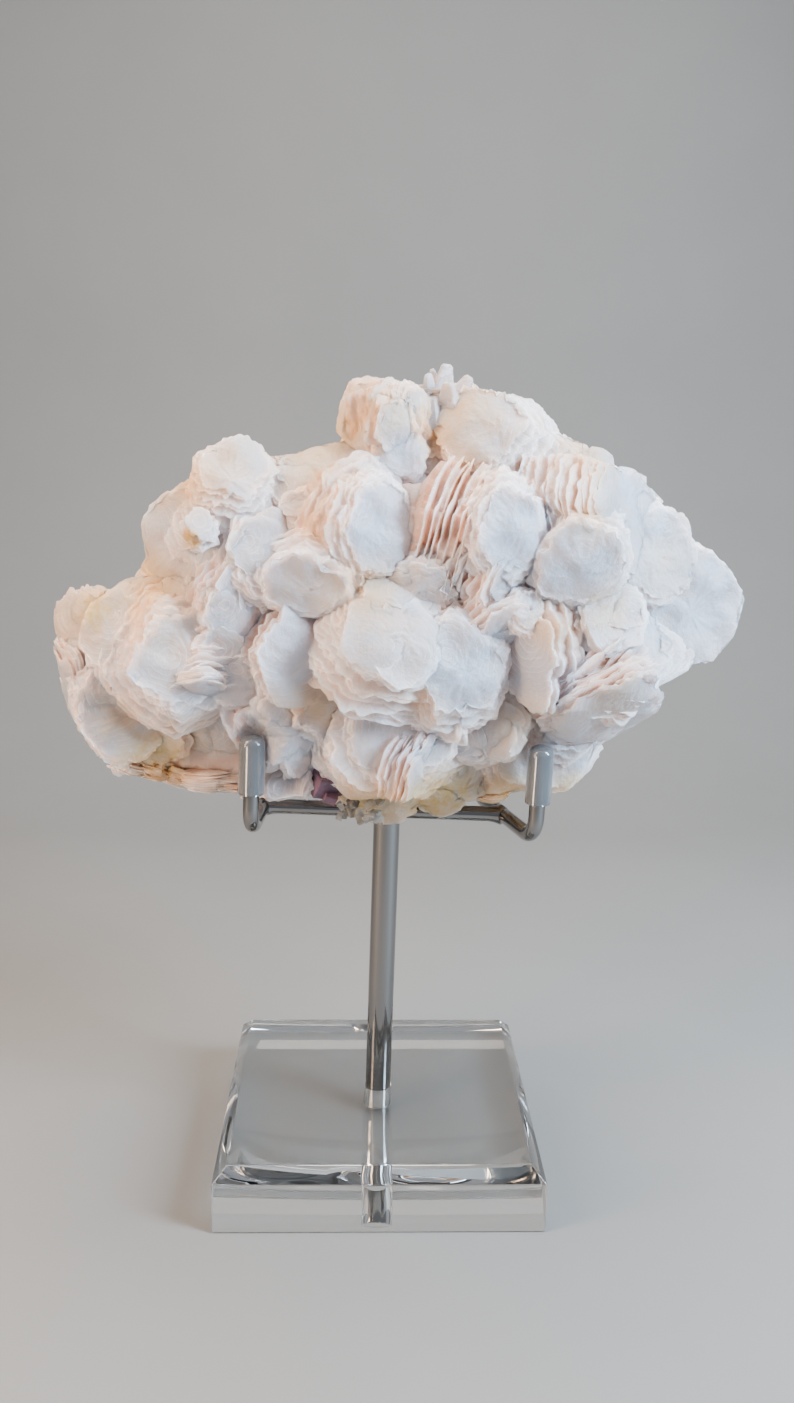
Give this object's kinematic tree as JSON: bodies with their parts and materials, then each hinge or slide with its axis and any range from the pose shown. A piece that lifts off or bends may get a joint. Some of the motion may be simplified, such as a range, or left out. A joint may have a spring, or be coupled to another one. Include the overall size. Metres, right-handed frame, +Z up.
{
  "type": "calcite cluster",
  "caption": "Cluster of pale pink calcite rosettes, resting in a bent wire cradle on a post above a clear block.",
  "frame": {"origin": "centre of the clear block's underside", "axes": "+Z up, -Y towards the viewer of the specimen's front, +X to that viewer's right"},
  "size_m": [0.212, 0.1, 0.2561],
  "materials": {
    "calcite": "pale pink-white translucent calcite with a waxy gloss, peach in the crevices and ochre spots along the edges",
    "clear_block": "polished clear acrylic",
    "chrome": "bright chrome plate",
    "clear_sleeve": "soft clear vinyl"
  },
  "bodies": {
    "root": {"calcite_cluster": "calcite", "base_block": "clear_block", "post": "chrome", "crossbar": "chrome", "left_arm": "chrome", "right_arm": "chrome", "left_prong_sleeve": "clear_sleeve", "right_prong_sleeve": "clear_sleeve", "left_support_sleeve": "clear_sleeve", "right_support_sleeve": "clear_sleeve"}
  },
  "joints": []
}
